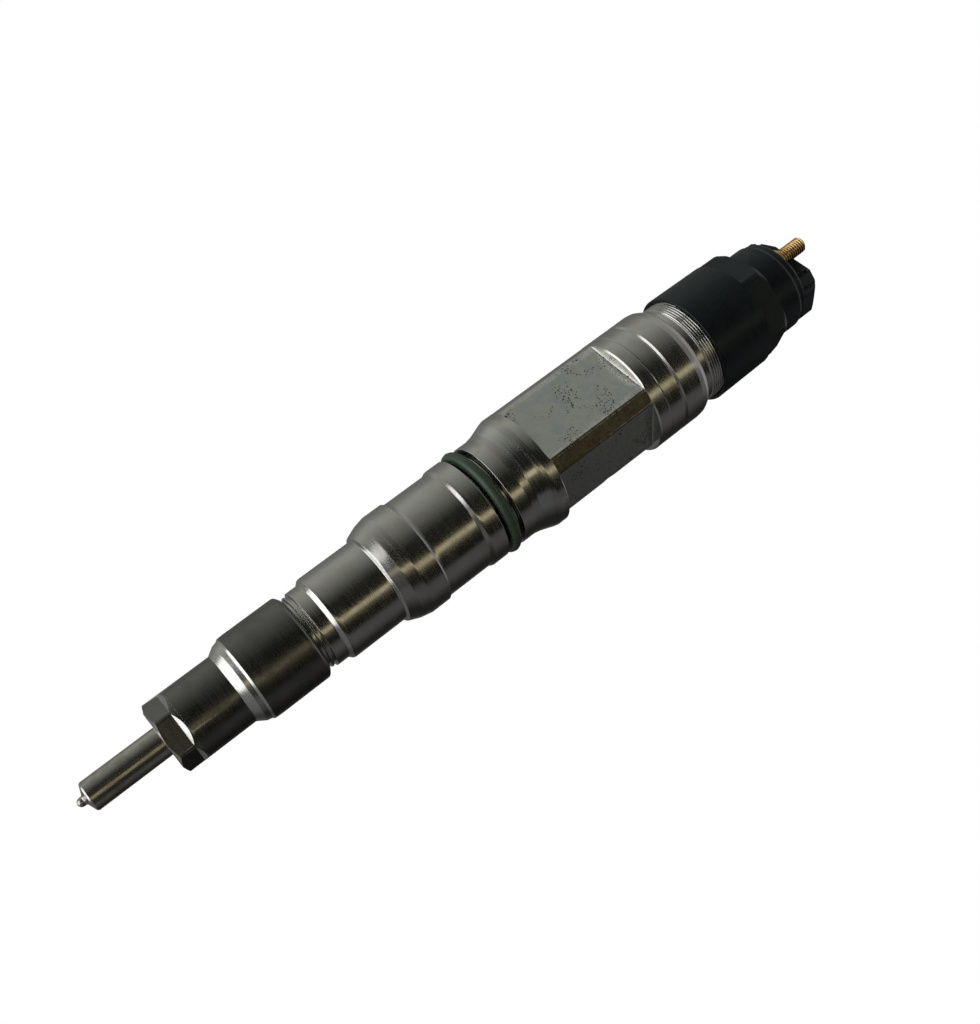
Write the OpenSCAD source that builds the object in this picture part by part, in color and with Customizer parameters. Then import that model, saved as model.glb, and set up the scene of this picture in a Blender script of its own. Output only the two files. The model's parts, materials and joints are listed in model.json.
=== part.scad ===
// Solenoid fuel injector, upright on its nozzle.
// The Z axis is the injector's own axis, with the nozzle tip down and the electrical terminals up.
// The origin is the centre of the nozzle retaining nut's lower face. +X is the high-pressure inlet side.
// Heights are in millimetres above that face.

/* [Nozzle] */
// Height of the dome's lowest point
tip_z = -20.6; // [-22:0.1:-20.2]
// Radius of the dome
dome_r = 1.05; // [0.9:0.05:1.2]
// Radius of the nozzle shank
shank_r = 3.5; // [3.4:0.05:3.6]
// Height where the tip's flank ends and the shank begins
shank_low_z = -18; // [-18.2:0.1:-17]
// Radius of the nozzle's collar inside its nut
collar_r = 7.15; // [7:0.05:7.2]
// Height of the collar's shoulder
collar_z = 6.5; // [6:0.1:7]
// Height of the joint between nozzle and injector body
joint_z = 22; // [21.5:0.1:22.5]
// Radius of the needle where it is guided
needle_r = 1.98; // [1.8:0.01:1.98]
// Number of spray holes
spray_holes = 6; // [4:1:8]
// Radius of a spray hole
spray_hole_r = 0.1; // [0.08:0.01:0.14]

/* [Nozzle retaining nut] */
// Size of its hexagon across flats
low_hex_af = 15; // [14.6:0.1:15.2]
// Height where the flats run out
low_hex_z = 4.3; // [3.8:0.1:4.6]
// Radius of its slim lower part
low_nut_r = 8.47; // [8.3:0.01:8.6]
// Radius of its threaded upper part
nut_r = 10.5; // [10.3:0.05:10.6]
// Height of its top
nut_top_z = 36.1; // [35.6:0.1:36.4]
// Radius of its thread
nut_thread_r = 8.6; // [8.5:0.05:8.7]

/* [Injector body] */
// Radius of the slim lower body
slim_r = 10.5; // [10.3:0.05:10.6]
// Radius of the lands that fill the cylinder head's bore
land_r = 13; // [12.8:0.05:13.2]
// Radius between the two lower lands
waist_r = 12.5; // [12.2:0.05:12.6]
// Radius of the seal groove
groove_r = 10.9; // [10.7:0.05:10.9]
// Height of the seal groove's lower wall
groove_low_z = 83.4; // [83.2:0.1:83.6]
// Height of the seal groove's upper wall
groove_high_z = 88.2; // [88:0.1:88.4]
// Radius of the head of the body
head_r = 14.75; // [14.5:0.05:15]
// Height where the flats begin
flats_low_z = 100.1; // [99.5:0.1:101]
// Height where the flats end
flats_high_z = 128.5; // [128:0.1:129]
// Distance from the axis to a flat
flat_apothem = 11.7; // [11.4:0.1:12]
// Distance from the axis to the inlet's flat
inlet_apothem = 13.1; // [12.8:0.1:13.4]
// Height where the head ends and its thread begins
head_top_z = 144.6; // [144.4:0.1:145]
// Radius of the upper thread
top_thread_r = 13.2; // [13.1:0.05:13.3]
// Height of the body's upper end
body_top_z = 160; // [159.8:0.1:160]

/* [Inlet] */
// Height of the high-pressure inlet
inlet_z = 114.3; // [112:0.1:116]
// Radius of the inlet's mouth
inlet_mouth_r = 3.6; // [3.2:0.1:3.8]
// Radius of the inlet's drilling
inlet_r = 1.2; // [1:0.1:1.3]
// Distance of the long fuel drilling from the axis
feed_x = 5.85; // [5.8:0.05:5.9]
// Radius of the long fuel drilling
feed_r = 0.8; // [0.7:0.05:0.8]

/* [Body seal] */
// Radius of the seal's section
seal_section_r = 1.34; // [1.2:0.01:1.34]
// Outer radius of the seal
seal_outer_r = 13.6; // [13.6:0.05:13.7]

/* [Solenoid nut and cap] */
// Height of the nut's lower edge
cap_nut_low_z = 150; // [149.5:0.1:150.5]
// Height of the nut's upper face
cap_nut_top_z = 172; // [171.8:0.1:172.2]
// Radius of the nut at its lower edge
cap_nut_r = 14.3; // [14.1:0.05:14.5]
// Size of its hexagon across flats
top_hex_af = 24.9; // [24.8:0.1:25.2]
// Height where its flats begin
top_hex_z = 165.6; // [165.5:0.1:166]
// Radius of the cap's collar
cap_r = 11.6; // [11.4:0.05:11.65]
// Height of the collar's rim
cap_rim_z = 179.1; // [178.8:0.1:179.4]
// Height of the face that carries the terminals
cap_face_z = 181.4; // [181.2:0.1:181.6]
// Height of the barrier's top
barrier_top_z = 188; // [187.5:0.1:188.5]
// Thickness of the barrier
barrier_t = 8; // [7.6:0.1:8]

/* [Terminals] */
// Radius of a terminal stud
stud_r = 2; // [1.9:0.05:2]
// Height of a stud's top
stud_top_z = 190.5; // [190:0.1:191]
// Distance of a stud from the axis
stud_reach = 7.2; // [7.2:0.05:7.4]
// Radius of a stud's base flange
stud_flange_r = 3; // [2.8:0.05:3]

/* [Hidden] */

fine = 96;
gap = 0.02;             // running clearance on the radius of a sliding fit
loose = 0.05;           // clearance on the radius of a threaded or pressed joint
past = 1;               // how far a cutter reaches past the face that it cuts

// Nozzle, inside
shank_root_r = 3.2;     // the shank is relieved where it stands in its nut
seat_slope = 30;        // angle between the seat's cone and the axis
sac_r = 0.45;
sac_top_z = -19.3;
stem_bore_r = 1.75;
seat_top_z = sac_top_z + (stem_bore_r - sac_r) / tan(seat_slope);
stem_r = 1.45;
seat_gap = 0.03;        // clearance between the needle's cone and its seat
gallery_low_z = 8;
gallery_high_z = 12;
gallery_r = 3.4;
needle_top_z = joint_z - 0.3;
needle_spigot_r = 1.1;
needle_spigot_z = needle_top_z + 1.4;
pin_r = 0.8;
pin_reach = 5.6;
pin_half = 2.2;
pin_angles = [115, 245];

// Spring chamber and piston
chamber_r = 4.2;
chamber_top_z = 50;
shim_t = 0.8;
seat_flange_z = joint_z + 0.8;
seat_flange_t = 1.4;
spring_low_z = seat_flange_z + seat_flange_t;
piston_low_z = spring_low_z + 1.8;
piston_r = 2.15;
piston_top_z = 128.4;
rod_bore_r = 2.4;

// Control valve
valve_low_z = 119;
valve_step_z = 126;
valve_flange_z = 131;
valve_top_z = 133.1;
valve_low_r = 7.6;
valve_bore_r = 8.6;
valve_roof_z = 129;
ball_r = 0.675;
ball_seat_r = 0.7;
ball_seat_slope = 45;
ball_z = valve_top_z - ball_seat_r / tan(ball_seat_slope) + ball_r / sin(ball_seat_slope) + gap;
carrier_low_z = 133.75;
bolt_low_z = 136.2;
screw_top_z = 137;
stroke_shim_t = 0.6;

// Armature
guide_bore_r = 9.1;
guide_low_z = screw_top_z + stroke_shim_t;
guide_flange_top_z = guide_low_z + 3;
guide_hub_r = 3;
guide_hub_top_z = guide_flange_top_z + 1.4;
plate_low_z = 144;
plate_top_z = 146;
plate_r = 7.5;
bolt_r = 2;
neck_r = 1.5;
lock_groove_r = 1.2;
lock_ring_low_z = plate_top_z + gap;
lock_ring_top_z = lock_ring_low_z + 0.6;
bolt_top_z = 148.5;
core_low_z = 146.15;
upper_bore_z = 145;
upper_bore_r = 10.55;

// Solenoid
core_r = 9.6;
core_top_z = 160;
slot_in_r = 4.6;
slot_out_r = 7.4;
slot_top_z = 154.5;
core_bore_r = 2.8;
spring_shim_z = 157.2;
core_bore_top_z = 158;
sleeve_r = 10.45;
sleeve_top_z = 163;
lead_r = 0.5;
lead_reach = 6;
cap_flange_top_z = 165;
cap_flange_r = 12.2;
stud_root_z = 172.2;
stud_root_r = 2.4;
stud_angles = [-135, 45];
barrier_turn = stud_angles[0] + 90;

// ---------- Shared shapes ----------

// A turned solid from half of its outline: a list of [radius, height] points
module turned(outline) {
    rotate_extrude($fn = fine) polygon(outline);
}

// A ring or tube between two radii and two heights
module tube(outer, inner, low, high) {
    translate([0, 0, low]) difference() {
        cylinder(r = outer, h = high - low, $fn = fine);
        translate([0, 0, -past]) cylinder(r = inner, h = high - low + 2 * past, $fn = fine);
    }
}

// A round rod or a round cutter between two heights
module rod(r, low, high) {
    translate([0, 0, low]) cylinder(r = r, h = high - low, $fn = fine);
}

// A straight drilling from one point to another
module drilling(from, to, r) {
    way = to - from;
    length = norm(way);
    translate(from) rotate([0, acos(way[2] / length), atan2(way[1], way[0])])
        cylinder(r = r, h = length, $fn = 32);
}

// Everything outside the body's four spanner flats and its inlet flat
module flats_cut() {
    corner_r = flat_apothem * sqrt(2);
    side_y = corner_r - inlet_apothem;
    translate([0, 0, flats_low_z]) linear_extrude(flats_high_z - flats_low_z) difference() {
        circle(r = head_r + 5, $fn = fine);
        polygon([[inlet_apothem, -side_y], [inlet_apothem, side_y], [0, corner_r],
                 [-corner_r, 0], [0, -corner_r]]);
    }
}

// Points along a round corner, from one angle to another
function corner(centre_r, centre_z, r, from, to, steps = 5) = [
    for (i = [0:steps])
        let (a = from + (to - from) * i / steps)
            [centre_r + r * cos(a), centre_z + r * sin(a)]
];

// Points along a smooth S curve between two radii
function s_curve(r0, z0, r1, z1, steps = 8) = [
    for (i = [0:steps])
        [r0 + (r1 - r0) * (1 - cos(180 * i / steps)) / 2, z0 + (z1 - z0) * i / steps]
];

// A round-wire compression spring between two heights
module coil_spring(mean_r, wire_r, low, high, turns, steps = 14, sides = 6) {
    count = turns * steps;
    rise = high - low - 2 * wire_r;
    points = [
        for (i = [0:count], j = [0:sides - 1])
            let (a = 360 * i / steps, b = 360 * j / sides, r = mean_r + wire_r * cos(b))
                [r * cos(a), r * sin(a), low + wire_r + rise * i / count + wire_r * sin(b)]
    ];
    skin = [
        for (i = [0:count - 1], j = [0:sides - 1], half = [0, 1])
            let (k = (j + 1) % sides, p = i * sides, q = p + sides)
                half == 0 ? [p + j, q + j, q + k] : [p + j, q + k, p + k]
    ];
    first_end = [for (j = [0:sides - 1]) j];
    last_end = [for (j = [sides - 1:-1:0]) count * sides + j];
    polyhedron(points, concat(skin, [first_end, last_end]), convexity = 10);
}

// ---------- Nozzle ----------

module nozzle_body() {
    dome_z = tip_z + dome_r;
    color([0.33, 0.32, 0.30]) difference() {
        turned(concat(
            [[0, tip_z]],
            corner(0, dome_z, dome_r, -80, -25),
            [[shank_r - 0.45, shank_low_z - 0.25], [shank_r, shank_low_z + 0.25],
             [shank_r, 0], [shank_root_r, 0], [shank_root_r, collar_z - 0.6],
             [collar_r - 0.4, collar_z], [collar_r, collar_z + 0.4],
             [collar_r, joint_z - 0.3], [collar_r - 0.3, joint_z], [0, joint_z]]));
        // sac, seat, stem bore, fuel gallery and needle guide, from the tip upwards
        turned([[0, sac_top_z - 0.5], [sac_r, sac_top_z - 0.2], [sac_r, sac_top_z],
                [stem_bore_r, seat_top_z], [stem_bore_r, gallery_low_z],
                [gallery_r, gallery_low_z + 1], [gallery_r, gallery_high_z - 1],
                [needle_r + gap, gallery_high_z], [needle_r + gap, joint_z + past],
                [0, joint_z + past]]);
        drilling([feed_x, 0, joint_z + 0.5], [gallery_r - 0.5, 0, gallery_low_z + 1.5], 0.7);
        for (a = pin_angles) rotate([0, 0, a]) translate([pin_reach, 0, 0])
            rod(pin_r + gap, joint_z - pin_half - 0.1, joint_z + past);
        for (i = [0:spray_holes - 1]) rotate([0, 0, 360 * (i + 0.5) / spray_holes])
            drilling([0, 0, sac_top_z - 0.25], [2.2, 0, sac_top_z - 1.3], spray_hole_r);
    }
}

module nozzle_needle() {
    cone_drop = seat_gap / sin(seat_slope);
    tip_r = 0.3;
    tip_at = sac_top_z + cone_drop - (sac_r - tip_r) / tan(seat_slope);
    cone_top_z = tip_at + (stem_r - tip_r) / tan(seat_slope);
    color([0.62, 0.62, 0.60]) turned([
        [0, tip_at], [tip_r, tip_at], [stem_r, cone_top_z], [stem_r, gallery_low_z + 1.2],
        [needle_r, gallery_high_z - 1.5], [needle_r, needle_top_z],
        [needle_spigot_r, needle_top_z], [needle_spigot_r, needle_spigot_z], [0, needle_spigot_z]
    ]);
}

module nozzle_retaining_nut() {
    step_z = 20.7;
    low_step_z = 17.3;
    cone_z = 19.1;
    thread_low_z = 21;
    color([0.17, 0.17, 0.17]) difference() {
        turned(concat(
            [[0, 0], [7.2, 0], [low_nut_r, 0.75], [low_nut_r, low_step_z],
             [9.6, cone_z], [nut_r - 0.05, step_z]],
            corner(nut_r - 1.1, nut_top_z - 1.1 - 0.4, 1.1, 0, 75),
            [[nut_r - 1.15, nut_top_z], [0, nut_top_z]]));
        // flats of the lower hexagon, each running out on a slope
        for (a = [-100:60:200]) rotate([0, 0, a]) rotate([90, 0, 0])
            translate([0, 0, -6]) linear_extrude(12)
                polygon([[low_hex_af / 2, -past], [low_nut_r + 2, -past],
                         [low_nut_r + 2, low_hex_z + low_nut_r + 2 - low_hex_af / 2],
                         [low_hex_af / 2, low_hex_z]]);
        rod(shank_r + 0.1, -past, collar_z + past);
        turned([[0, collar_z - 0.62], [shank_r + 0.1, collar_z - 0.62],
                [collar_r - 0.4, collar_z - 0.02], [collar_r + loose, collar_z + 0.3],
                [collar_r + loose, thread_low_z + 0.01], [0, thread_low_z + 0.01]]);
        rod(nut_thread_r, thread_low_z, nut_top_z + past);
    }
}

module locating_pins() {
    color([0.70, 0.70, 0.69]) for (a = pin_angles) rotate([0, 0, a]) translate([pin_reach, 0, 0])
        rod(pin_r, joint_z - pin_half, joint_z + pin_half);
}

module nozzle_spring() {
    color([0.40, 0.40, 0.42])
        coil_spring(3.2, 0.6, spring_low_z, chamber_top_z - shim_t, turns = 9);
}

module nozzle_spring_shim() {
    color([0.66, 0.66, 0.64])
        tube(chamber_r - 0.1, rod_bore_r + 0.05, chamber_top_z - shim_t, chamber_top_z);
}

module pressure_pin() {
    color([0.55, 0.55, 0.54]) difference() {
        turned([[0, needle_top_z], [1.9, needle_top_z], [1.9, seat_flange_z],
                [chamber_r - 0.3, seat_flange_z], [chamber_r - 0.3, spring_low_z],
                [1.9, spring_low_z], [1.9, piston_low_z], [0, piston_low_z]]);
        rod(needle_spigot_r + gap, needle_top_z - past, needle_spigot_z + 0.1);
    }
}

module control_piston() {
    relief_r = 1.95;
    color([0.60, 0.60, 0.59]) turned([
        [0, piston_low_z], [piston_r - 0.2, piston_low_z], [piston_r, piston_low_z + 0.2],
        [piston_r, chamber_top_z + 12], [relief_r, chamber_top_z + 13],
        [relief_r, valve_low_z - 10], [piston_r, valve_low_z - 9],
        [piston_r, piston_top_z - 0.4], [piston_r - 0.4, piston_top_z], [0, piston_top_z]
    ]);
}

// ---------- Injector body ----------

// Turned outline of the body, from the nozzle joint to the upper thread
function body_outline() = concat(
    [[0, joint_z], [8.1, joint_z], [nut_thread_r - loose, joint_z + 0.5],
     [nut_thread_r - loose, nut_top_z], [8.3, nut_top_z + 0.1], [8.3, nut_top_z + 0.8],
     [9.15, nut_top_z + 0.85], [9.15, nut_top_z + 1.15], [8.6, nut_top_z + 1.2],
     [8.6, nut_top_z + 1.8], [9.55, nut_top_z + 1.9], [9.55, 40.6],
     [slim_r - 0.05, 42], [slim_r, 42.2], [slim_r, 55.9]],
    [[11.3, 56.3], [11.8, 57.1], [12.5, 59], [land_r, 61.7], [land_r, 66.5],
     [waist_r + 0.15, 66.8], [waist_r, 67.5], [waist_r, 78.5], [land_r, 79.5],
     [land_r, groove_low_z], [groove_r, groove_low_z], [groove_r, groove_high_z],
     [land_r, groove_high_z]],
    s_curve(land_r, 92, head_r, 97.3),
    [[head_r, 136.3], [head_r - 0.4, 136.5], [head_r - 0.4, 136.8], [head_r, 137],
     [head_r, 142.2], [head_r - 0.2, 143.4], [head_r - 0.7, head_top_z],
     [top_thread_r - 0.5, head_top_z], [top_thread_r - 0.5, head_top_z + 0.8],
     [top_thread_r, head_top_z + 1.2], [top_thread_r, body_top_z - 0.6],
     [top_thread_r - 0.6, body_top_z], [0, body_top_z]]);

module injector_body() {
    drain_angle = 75;
    drain_r = 0.7;
    drain_low_z = 73;
    inlet_cone = 40;
    mouth_x = inlet_apothem - 2;
    cone_x = mouth_x - (inlet_mouth_r - inlet_r) / tan(inlet_cone);
    color([0.58, 0.58, 0.56]) difference() {
        turned(body_outline());
        flats_cut();
        // spring chamber, rod bore, valve bores and the upper bore
        rod(chamber_r, joint_z - past, chamber_top_z);
        rod(rod_bore_r, chamber_top_z - past, valve_low_z + past);
        rod(valve_low_r, valve_low_z, valve_step_z + past);
        rod(valve_bore_r, valve_step_z, screw_top_z + past);
        rod(guide_bore_r, screw_top_z, upper_bore_z + past);
        rod(upper_bore_r, upper_bore_z, body_top_z + past);
        for (a = pin_angles) rotate([0, 0, a]) translate([pin_reach, 0, 0])
            rod(pin_r + gap, joint_z - past, joint_z + pin_half + 0.1);
        // fuel drilling from the inlet, down to the nozzle and up to the control valve
        translate([feed_x, 0, 0]) rod(feed_r, joint_z - past, valve_low_z + past);
        translate([0, 0, inlet_z]) rotate([0, 90, 0]) {
            rod(inlet_mouth_r, mouth_x, inlet_apothem + past);
            turned([[0, cone_x], [inlet_r, cone_x], [inlet_mouth_r, mouth_x], [0, mouth_x]]);
            rod(inlet_r, feed_x - 0.4, cone_x + 0.1);
        }
        // return drilling from the solenoid chamber to the space between the lower lands
        rotate([0, 0, drain_angle]) {
            drilling([8.2, 0, drain_low_z - 0.5], [10.55, 0, upper_bore_z + 0.5], drain_r);
            drilling([8.2, 0, drain_low_z], [waist_r + past, 0, drain_low_z], 1);
        }
    }
}

module body_seal() {
    color([0.16, 0.30, 0.20]) translate([0, 0, (groove_low_z + groove_high_z) / 2])
        rotate_extrude($fn = fine) translate([seal_outer_r - seal_section_r, 0])
            circle(r = seal_section_r, $fn = 32);
}

// ---------- Control valve ----------

module valve_piece() {
    throttle_r = 0.2;
    low_r = 5.4;
    hub_r = 3;
    seat_low_z = valve_top_z - (ball_seat_r - throttle_r) / tan(ball_seat_slope);
    color([0.63, 0.63, 0.61]) difference() {
        turned([[0, valve_low_z], [3.1, valve_low_z], [3.1, valve_low_z + 1.8],
                [low_r, valve_low_z + 1.8], [low_r, valve_step_z],
                [valve_bore_r - loose - 0.1, valve_step_z],
                [valve_bore_r - loose - 0.1, valve_flange_z],
                [hub_r + 1, valve_flange_z], [hub_r, valve_top_z], [0, valve_top_z]]);
        rod(piston_r + gap, valve_low_z - past, valve_roof_z);
        rod(throttle_r, valve_roof_z - past, valve_top_z + past);
        turned([[0, seat_low_z], [throttle_r, seat_low_z], [ball_seat_r, valve_top_z],
                [ball_seat_r + 0.05, valve_top_z + past], [0, valve_top_z + past]]);
        drilling([0, 0, valve_roof_z - 0.3], [low_r + 0.5, 0, valve_step_z - 3.2], throttle_r);
    }
}

module valve_seal_ring() {
    color([0.72, 0.50, 0.34]) tube(5.0, 3.15, valve_low_z, valve_low_z + 1.8);
}

module valve_clamp_screw() {
    socket_r = 4.4;
    color([0.30, 0.30, 0.31]) difference() {
        tube(valve_bore_r - loose, socket_r, valve_flange_z, screw_top_z);
        for (a = [0:60:300]) rotate([0, 0, a])
            translate([socket_r + 0.7, 0, 0]) rod(0.9, screw_top_z - 3.5, screw_top_z + past);
    }
}

module valve_ball() {
    color([0.75, 0.75, 0.74]) translate([0, 0, ball_z]) sphere(r = ball_r, $fn = 48);
}

module ball_carrier() {
    color([0.68, 0.68, 0.66]) difference() {
        turned([[0, carrier_low_z], [0.9, carrier_low_z], [1.6, carrier_low_z + 0.6],
                [1.6, bolt_low_z], [0, bolt_low_z]]);
        translate([0, 0, ball_z]) sphere(r = ball_r + gap, $fn = 48);
    }
}

// ---------- Armature ----------

module stroke_shim() {
    color([0.66, 0.66, 0.64])
        tube(guide_bore_r - loose, 6.5, screw_top_z, screw_top_z + stroke_shim_t);
}

module armature_guide() {
    color([0.52, 0.52, 0.51]) difference() {
        union() {
            rod(guide_bore_r - loose, guide_low_z, guide_flange_top_z);
            rod(guide_hub_r, guide_flange_top_z - 0.1, guide_hub_top_z);
        }
        rod(bolt_r + gap, guide_low_z - past, guide_hub_top_z + past);
        for (a = [30:120:270]) rotate([0, 0, a]) translate([5.8, 0, 0])
            rod(0.9, guide_low_z - past, guide_flange_top_z + past);
    }
}

module overtravel_spring() {
    color([0.45, 0.45, 0.47])
        coil_spring(3.75, 0.28, guide_flange_top_z, plate_low_z, turns = 3);
}

module armature_bolt() {
    spigot_r = 0.95;
    shoulder_z = plate_low_z - 0.1;
    color([0.64, 0.64, 0.63]) turned([
        [0, bolt_low_z], [bolt_r - 0.2, bolt_low_z], [bolt_r, bolt_low_z + 0.2],
        [bolt_r, shoulder_z], [neck_r, shoulder_z], [neck_r, lock_ring_low_z],
        [lock_groove_r, lock_ring_low_z], [lock_groove_r, lock_ring_top_z],
        [neck_r, lock_ring_top_z], [neck_r, bolt_top_z], [spigot_r, bolt_top_z],
        [spigot_r, bolt_top_z + 1], [0, bolt_top_z + 1]
    ]);
}

module armature_plate() {
    color([0.48, 0.47, 0.46]) difference() {
        tube(plate_r, neck_r + gap, plate_low_z, plate_top_z);
        for (a = [0:60:300]) rotate([0, 0, a]) translate([5.1, 0, 0])
            rod(0.7, plate_low_z - past, plate_top_z + past);
    }
}

module armature_lock_ring() {
    color([0.50, 0.50, 0.52]) difference() {
        tube(2.4, lock_groove_r + 0.01, lock_ring_low_z, lock_ring_top_z);
        translate([0.6, -0.7, lock_ring_low_z - past]) cube([3, 1.4, 3]);
    }
}

module air_gap_spacer() {
    color([0.66, 0.66, 0.64]) difference() {
        tube(guide_bore_r - loose, 8, guide_flange_top_z, core_low_z);
        for (a = [-15:90:255]) rotate([0, 0, a])
            translate([0, -1, upper_bore_z]) cube([guide_bore_r + past, 2, 3]);
    }
}

// ---------- Solenoid ----------

module magnet_core() {
    color([0.36, 0.36, 0.37]) difference() {
        rod(core_r, core_low_z, core_top_z);
        rod(core_bore_r, core_low_z - past, core_bore_top_z);
        tube(slot_out_r, slot_in_r, core_low_z - past, slot_top_z);
        for (a = stud_angles) rotate([0, 0, a]) translate([lead_reach, 0, 0])
            rod(lead_r + 0.2, slot_top_z - past, core_top_z + past);
    }
}

module coil_bobbin() {
    wall = 0.4;
    low = core_low_z + 0.3;
    high = slot_top_z - loose;
    color([0.80, 0.77, 0.66]) difference() {
        turned([[slot_in_r + loose, low], [slot_out_r - loose, low],
                [slot_out_r - loose, low + wall], [slot_in_r + loose + wall, low + wall],
                [slot_in_r + loose + wall, high - wall], [slot_out_r - loose, high - wall],
                [slot_out_r - loose, high], [slot_in_r + loose, high]]);
        for (a = stud_angles) rotate([0, 0, a]) translate([lead_reach, 0, 0])
            rod(lead_r + loose, high - wall - past, high + past);
    }
}

module solenoid_coil() {
    wall = 0.4;
    color([0.72, 0.36, 0.16]) tube(
        slot_out_r - loose, slot_in_r + 2 * loose + wall,
        core_low_z + 0.3 + wall, slot_top_z - loose - wall);
}

module solenoid_spring() {
    color([0.45, 0.45, 0.47])
        coil_spring(1.55, 0.25, bolt_top_z, spring_shim_z, turns = 7);
}

module spring_force_shim() {
    color([0.66, 0.66, 0.64]) rod(core_bore_r - 0.1, spring_shim_z, core_bore_top_z);
}

module magnet_sleeve() {
    color([0.54, 0.54, 0.52]) difference() {
        rod(sleeve_r, core_low_z, sleeve_top_z);
        rod(core_r + loose, core_low_z - past, core_top_z);
        for (a = stud_angles) rotate([0, 0, a]) translate([lead_reach, 0, 0])
            rod(lead_r + 0.2, core_top_z - past, sleeve_top_z + past);
    }
}

module solenoid_seal() {
    section_r = 0.88;
    color([0.10, 0.10, 0.10]) translate([0, 0, (body_top_z + sleeve_top_z) / 2])
        rotate_extrude($fn = fine) translate([sleeve_r + 0.05 + section_r, 0])
            circle(r = section_r, $fn = 32);
}

module solenoid_nut() {
    neck_z = 161;
    top_r = cap_nut_r - 0.3;
    corner_turn = -120.5;   // where one corner of the hexagon points
    color([0.10, 0.10, 0.11]) difference() {
        turned(concat(
            [[0, cap_nut_low_z]],
            corner(cap_nut_r - 0.8, cap_nut_low_z + 0.8, 0.8, -90, 0),
            [[top_r, cap_nut_top_z - 1.2], [top_r - 0.8, cap_nut_top_z], [0, cap_nut_top_z]]));
        // flats of the upper hexagon
        difference() {
            rod(cap_nut_r + past, top_hex_z, cap_nut_top_z + past);
            rotate([0, 0, corner_turn]) translate([0, 0, top_hex_z - past])
                cylinder(d = top_hex_af / cos(30), h = cap_nut_top_z - top_hex_z + 3 * past, $fn = 6);
        }
        rod(top_thread_r + loose, cap_nut_low_z - past, neck_z);
        rod(cap_flange_r + 0.2, neck_z - past, cap_flange_top_z);
        rod(cap_r + 0.1, cap_flange_top_z - past, cap_nut_top_z + past);
    }
}

// ---------- Terminal cap ----------

// The wall between the terminals: its outline seen from the side, made round at both ends
module barrier() {
    reach = 11.3;
    half = [[reach, cap_face_z - past], [reach, barrier_top_z - 4.4], [9, barrier_top_z - 1.8],
            [5.6, barrier_top_z]];
    rotate([0, 0, barrier_turn]) intersection() {
        rotate([90, 0, 0]) translate([0, 0, -barrier_t / 2]) linear_extrude(barrier_t)
            polygon(concat(half, [for (i = [len(half) - 1:-1:0]) [-half[i][0], half[i][1]]]));
        rod(reach, cap_face_z - 2, barrier_top_z + past);
    }
}

module terminal_cap() {
    groove_at = [-9.3, -5.4, 5.4, 9.3];
    color([0.07, 0.07, 0.08]) difference() {
        union() {
            rod(cap_flange_r, sleeve_top_z, cap_flange_top_z);
            turned(concat(
                [[0, cap_flange_top_z - 1], [cap_r, cap_flange_top_z - 1],
                 [cap_r, cap_rim_z - 0.3], [cap_r - 0.3, cap_rim_z]],
                corner(cap_r - 0.4 - 1.5, cap_face_z - 1.5, 1.5, 0, 90),
                [[0, cap_face_z]]));
            barrier();
        }
        rotate([0, 0, barrier_turn]) for (side = [-1, 1], at = groove_at)
            translate([at, side * (barrier_t / 2 + 0.15), 0])
                rod(0.5, cap_face_z, barrier_top_z + past);
        for (a = stud_angles) rotate([0, 0, a]) {
            translate([stud_reach, 0, 0]) rod(stud_root_r + gap, stud_root_z, cap_face_z + past);
            translate([lead_reach, 0, 0]) rod(lead_r + loose, sleeve_top_z - past, stud_root_z + 0.1);
        }
    }
}

module coil_leads() {
    color([0.72, 0.42, 0.22]) for (a = stud_angles) rotate([0, 0, a])
        translate([lead_reach, 0, 0])
            rod(lead_r, slot_top_z - loose - 0.4, stud_root_z);
}

// A terminal stud with its base flange and its root, at the angle given
module stud(angle) {
    flange_top_z = cap_face_z + 1;
    rotate([0, 0, angle]) translate([stud_reach, 0, 0]) {
        rod(stud_root_r, stud_root_z, cap_face_z);
        rod(stud_flange_r, cap_face_z, flange_top_z);
        turned([[0, flange_top_z - 0.1], [stud_r, flange_top_z - 0.1], [stud_r, stud_top_z - 0.5],
                [stud_r - 0.5, stud_top_z], [0, stud_top_z]]);
    }
}

module terminal_stud_front() {
    color([0.72, 0.55, 0.25]) stud(stud_angles[0]);
}

module terminal_stud_rear() {
    color([0.72, 0.55, 0.25]) stud(stud_angles[1]);
}

nozzle_body();
nozzle_needle();
nozzle_retaining_nut();
locating_pins();
nozzle_spring();
nozzle_spring_shim();
pressure_pin();
control_piston();
injector_body();
body_seal();
valve_piece();
valve_seal_ring();
valve_clamp_screw();
valve_ball();
ball_carrier();
stroke_shim();
armature_guide();
overtravel_spring();
armature_bolt();
armature_plate();
armature_lock_ring();
air_gap_spacer();
magnet_core();
coil_bobbin();
solenoid_coil();
solenoid_spring();
spring_force_shim();
magnet_sleeve();
solenoid_seal();
solenoid_nut();
terminal_cap();
coil_leads();
terminal_stud_front();
terminal_stud_rear();
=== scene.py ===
# %% [markdown]
# # A solenoid fuel injector
# This lesson finishes a diesel injector whose parts are already designed and placed.
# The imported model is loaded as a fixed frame: every part keeps its place, and the plain outside parts
# are replaced here by pieces with rounded edges, threads, wound wire and worn finishes.
# Outlines are written in millimetres, because that is how a turner reads a drawing.

# %% Load the frame
import json
import math

import bmesh
import bpy
from mathutils import Matrix, Vector

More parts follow.
